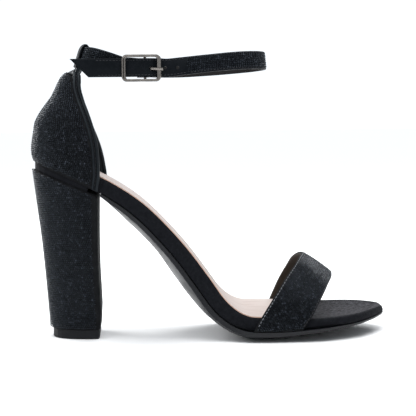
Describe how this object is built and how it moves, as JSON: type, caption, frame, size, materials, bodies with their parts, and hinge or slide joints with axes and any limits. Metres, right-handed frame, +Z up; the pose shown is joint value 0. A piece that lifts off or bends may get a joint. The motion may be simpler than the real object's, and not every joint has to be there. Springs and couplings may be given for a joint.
{
  "type": "heeled sandal",
  "caption": "Right-foot sandal with a tall block heel, stone-covered heel counter, vamp strap and ankle strap with a pewter buckle, standing empty.",
  "frame": {"origin": "centre of the heel top piece's ground face, on the ground plane", "axes": "+X along the sole to the toe, +Y to the medial side (the buckle is on the lateral side, -Y), +Z up"},
  "size_m": [0.2078, 0.0849, 0.1703],
  "materials": {
    "black_wrap": "matt black suede-like fabric",
    "nude_sock": "soft matt nude lining",
    "dark_rubber": "satin dark grey",
    "stone_fabric": "black mesh of small faceted stones",
    "pewter": "antique pewter"
  },
  "bodies": {
    "root": {"outsole": "dark_rubber", "footbed": "black_wrap", "insole": "nude_sock", "heel_block": "stone_fabric", "heel_tip": "dark_rubber", "seat_wedge": "black_wrap", "heel_counter": "stone_fabric", "collar_binding": "black_wrap", "strap_loop": "black_wrap", "vamp_strap": "stone_fabric", "ankle_strap": "stone_fabric", "buckle_frame": "pewter", "buckle_prong": "pewter"}
  },
  "joints": []
}
